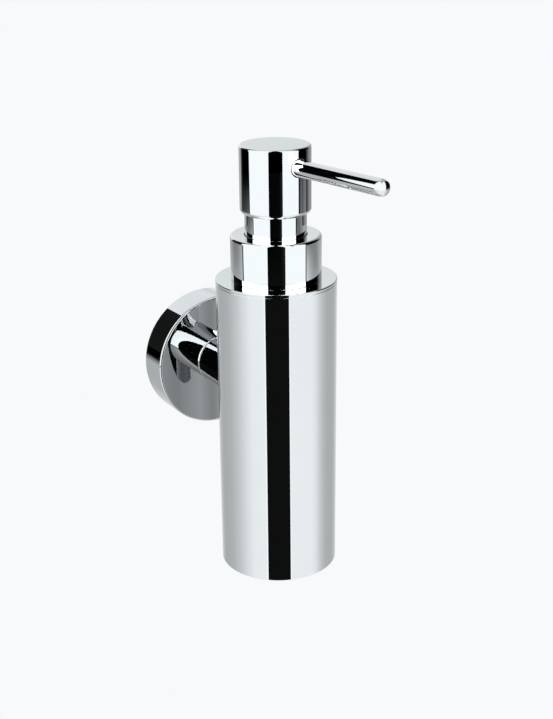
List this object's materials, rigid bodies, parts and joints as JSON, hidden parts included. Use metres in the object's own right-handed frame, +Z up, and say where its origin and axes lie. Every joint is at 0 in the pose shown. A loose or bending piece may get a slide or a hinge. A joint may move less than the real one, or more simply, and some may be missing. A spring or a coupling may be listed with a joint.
{
  "type": "wall mounted soap dispenser",
  "caption": "Wall mounted soap dispenser: round rosette and arm carry a tubular chrome container with a spring-return pump head and swivelling nozzle.",
  "frame": {"origin": "middle of the rosette and its wall bracket, on the wall plane", "axes": "+Z up, wall plane is XZ, the dispenser stands out along -Y and +Y points into the wall"},
  "size_m": [0.06, 0.1258, 0.1828],
  "materials": {
    "chrome": "mirror polished",
    "zinc_steel": "zinc plated",
    "spring_steel": "bright drawn",
    "brass": "turned",
    "white_plastic": "moulded",
    "clear_tube": "extruded, milky",
    "seal_plastic": "soft moulded",
    "rubber": "matt"
  },
  "bodies": {
    "holder": {"wall_bracket": "zinc_steel", "rosette": "chrome", "rosette_grub_screw": "zinc_steel", "arm": "chrome", "arm_screw": "zinc_steel", "arm_washer": "zinc_steel", "body_tube": "chrome", "base_disc": "chrome", "top_disc": "chrome", "neck_bush": "brass"},
    "pump": {"pump_barrel": "white_plastic", "barrel_gasket": "rubber", "guide_ring": "white_plastic", "valve_cage": "white_plastic", "dip_tube": "clear_tube", "return_spring": "spring_steel"},
    "collar": {"collar_shell": "chrome", "pump_carrier": "white_plastic", "carrier_gasket": "rubber"},
    "ball": {"inlet_ball": "spring_steel"},
    "piston": {"piston": "seal_plastic"},
    "head": {"pump_stem": "white_plastic", "stem_tip": "white_plastic", "head_shell": "chrome", "head_core": "white_plastic", "nozzle_tube": "chrome", "nozzle_seal": "rubber"}
  },
  "joints": [
    {"name": "pump_lift", "type": "slide", "parent": "holder", "child": "pump", "axis": [0, 0, 1], "range_m": [0, 0.135]},
    {"name": "collar_turn", "type": "hinge", "parent": "pump", "child": "collar", "pos_m": [0, -0.0643, 0.052], "axis": [0, 0, 1], "range_deg": [0, 540]},
    {"name": "ball_lift", "type": "slide", "parent": "pump", "child": "ball", "axis": [0, 0, 1], "range_m": [0, 0.0015]},
    {"name": "head_press", "type": "slide", "parent": "pump", "child": "piston", "axis": [0, 0, 1], "range_m": [-0.0085, 0], "stiffness_N_per_m": 700, "springref_m": 0.01, "deforming": ["return_spring"]},
    {"name": "head_swivel", "type": "hinge", "parent": "piston", "child": "head", "pos_m": [0, -0.0643, 0.08], "axis": [0, 0, 1], "continuous": true}
  ]
}
